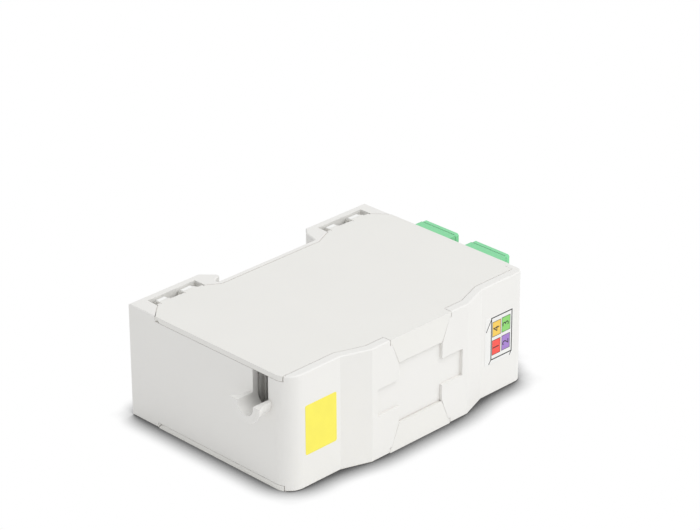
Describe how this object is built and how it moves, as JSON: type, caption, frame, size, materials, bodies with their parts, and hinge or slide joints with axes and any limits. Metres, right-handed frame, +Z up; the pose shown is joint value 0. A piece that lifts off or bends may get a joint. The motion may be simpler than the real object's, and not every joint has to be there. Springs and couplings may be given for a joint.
{
  "type": "din rail fibre box",
  "caption": "Small rail-mounted fibre termination box with hinged side covers, a cable trough at one end and shuttered fibre adapters at the other.",
  "frame": {"origin": "on the plane that the box lies on, under the middle of the whole part", "axes": "+X from the cable entry to the adapters, +Y from the front nose to the rail, +Z up from the lower cover to the upper cover"},
  "size_m": [0.1022, 0.065, 0.034],
  "materials": {
    "housing_plastic": "fine matt moulded ABS, light warm grey",
    "green_plastic": "satin mint-green moulded plastic",
    "green_insert_plastic": "satin green insert inside the adapter",
    "blue_plastic": "satin blue acetal slider",
    "zirconia": "polished white ceramic",
    "spring_steel": "bright drawn spring wire",
    "yellow_label": "plain yellow label",
    "legend_label": "printed label with four numbered colour fields",
    "tray_plastic": "matt grey-white fibre tray"
  },
  "bodies": {
    "housing": {"housing_frame": "housing_plastic", "upper_fibre_tray": "tray_plastic", "lower_fibre_tray": "tray_plastic", "upper_splice_holder": "tray_plastic", "lower_splice_holder": "tray_plastic", "latch_spring": "spring_steel", "front_label": "yellow_label", "port_legend_label": "legend_label", "adapter_body_1": "green_plastic", "adapter_front_catch_1": "green_insert_plastic", "adapter_rear_catch_1": "green_insert_plastic", "ferrule_sleeve_1": "zirconia", "shutter_pin_1": "spring_steel", "shutter_spring_1": "spring_steel", "adapter_body_2": "green_plastic", "adapter_front_catch_2": "green_insert_plastic", "adapter_rear_catch_2": "green_insert_plastic", "ferrule_sleeve_2": "zirconia", "shutter_pin_2": "spring_steel", "shutter_spring_2": "spring_steel", "adapter_body_3": "green_plastic", "adapter_front_catch_3": "green_insert_plastic", "adapter_rear_catch_3": "green_insert_plastic", "ferrule_sleeve_3": "zirconia", "shutter_pin_3": "spring_steel", "shutter_spring_3": "spring_steel", "adapter_body_4": "green_plastic", "adapter_front_catch_4": "green_insert_plastic", "adapter_rear_catch_4": "green_insert_plastic", "ferrule_sleeve_4": "zirconia", "shutter_pin_4": "spring_steel", "shutter_spring_4": "spring_steel"},
    "upper_cover": {"upper_cover": "housing_plastic"},
    "lower_cover": {"lower_cover": "housing_plastic"},
    "din_latch": {"din_latch": "blue_plastic"},
    "shutter_1": {"shutter_1": "green_plastic", "shutter_label_1": "yellow_label"},
    "shutter_2": {"shutter_2": "green_plastic", "shutter_label_2": "yellow_label"},
    "shutter_3": {"shutter_3": "green_plastic", "shutter_label_3": "yellow_label"},
    "shutter_4": {"shutter_4": "green_plastic", "shutter_label_4": "yellow_label"}
  },
  "joints": [
    {"name": "upper_cover_hinge", "type": "hinge", "parent": "housing", "child": "upper_cover", "pos_m": [-0.00061, 0.02805, 0.0321], "axis": [-1, 0, 0], "range_deg": [0, 90]},
    {"name": "lower_cover_hinge", "type": "hinge", "parent": "housing", "child": "lower_cover", "pos_m": [-0.00061, 0.02805, 0.0019], "axis": [1, 0, 0], "range_deg": [0, 90]},
    {"name": "latch_slide", "type": "slide", "parent": "housing", "child": "din_latch", "axis": [1, 0, 0], "range_m": [0, 0.0035], "stiffness_N_per_m": 900, "springref_m": -0.003, "deforming": ["latch_spring"]},
    {"name": "shutter_hinge_1", "type": "hinge", "parent": "housing", "child": "shutter_1", "pos_m": [0.04819, -0.01135, 0.0139], "axis": [0, -1, 0], "range_deg": [0, 90], "stiffness_Nm_per_rad": 0.0008, "springref_deg": -68.75, "deforming": ["shutter_spring_1"]},
    {"name": "shutter_hinge_2", "type": "hinge", "parent": "housing", "child": "shutter_2", "pos_m": [0.04819, 0.00795, 0.0139], "axis": [0, -1, 0], "range_deg": [0, 90], "stiffness_Nm_per_rad": 0.0008, "springref_deg": -68.75, "deforming": ["shutter_spring_2"]},
    {"name": "shutter_hinge_3", "type": "hinge", "parent": "housing", "child": "shutter_3", "pos_m": [0.04819, 0.00795, 0.0201], "axis": [0, 1, 0], "range_deg": [0, 90], "stiffness_Nm_per_rad": 0.0008, "springref_deg": -68.75, "deforming": ["shutter_spring_3"]},
    {"name": "shutter_hinge_4", "type": "hinge", "parent": "housing", "child": "shutter_4", "pos_m": [0.04819, -0.01135, 0.0201], "axis": [0, 1, 0], "range_deg": [0, 90], "stiffness_Nm_per_rad": 0.0008, "springref_deg": -68.75, "deforming": ["shutter_spring_4"]}
  ]
}
